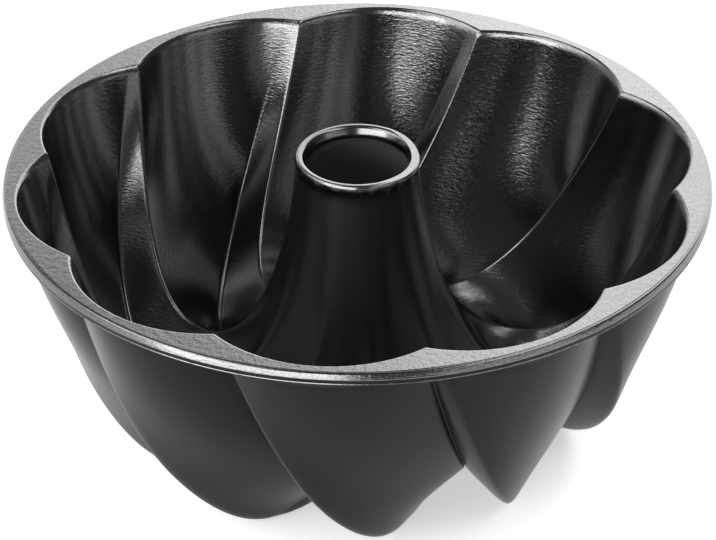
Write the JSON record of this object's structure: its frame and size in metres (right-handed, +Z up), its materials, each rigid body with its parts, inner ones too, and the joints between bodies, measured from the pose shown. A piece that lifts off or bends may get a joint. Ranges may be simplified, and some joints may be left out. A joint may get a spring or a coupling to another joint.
{
  "type": "ring cake pan",
  "caption": "Round swirl ring-cake pan: fluted cast bowl with a flat rim flange and a hollow centre tube, lined inside with a dark non-stick coat.",
  "frame": {"origin": "centre of the pan at the level that its lobes stand on", "axes": "+Z up the middle of the centre tube, towards the open side; +X through one rib crest at the rim"},
  "size_m": [0.2498, 0.2498, 0.1099],
  "materials": {
    "cast_aluminium": "satin charcoal outside finish on cast aluminium",
    "nonstick_coat": "satin charcoal non-stick coat with a fine metallic grain"
  },
  "bodies": {
    "root": {"cast_body": "cast_aluminium", "nonstick_lining": "nonstick_coat"}
  },
  "joints": []
}
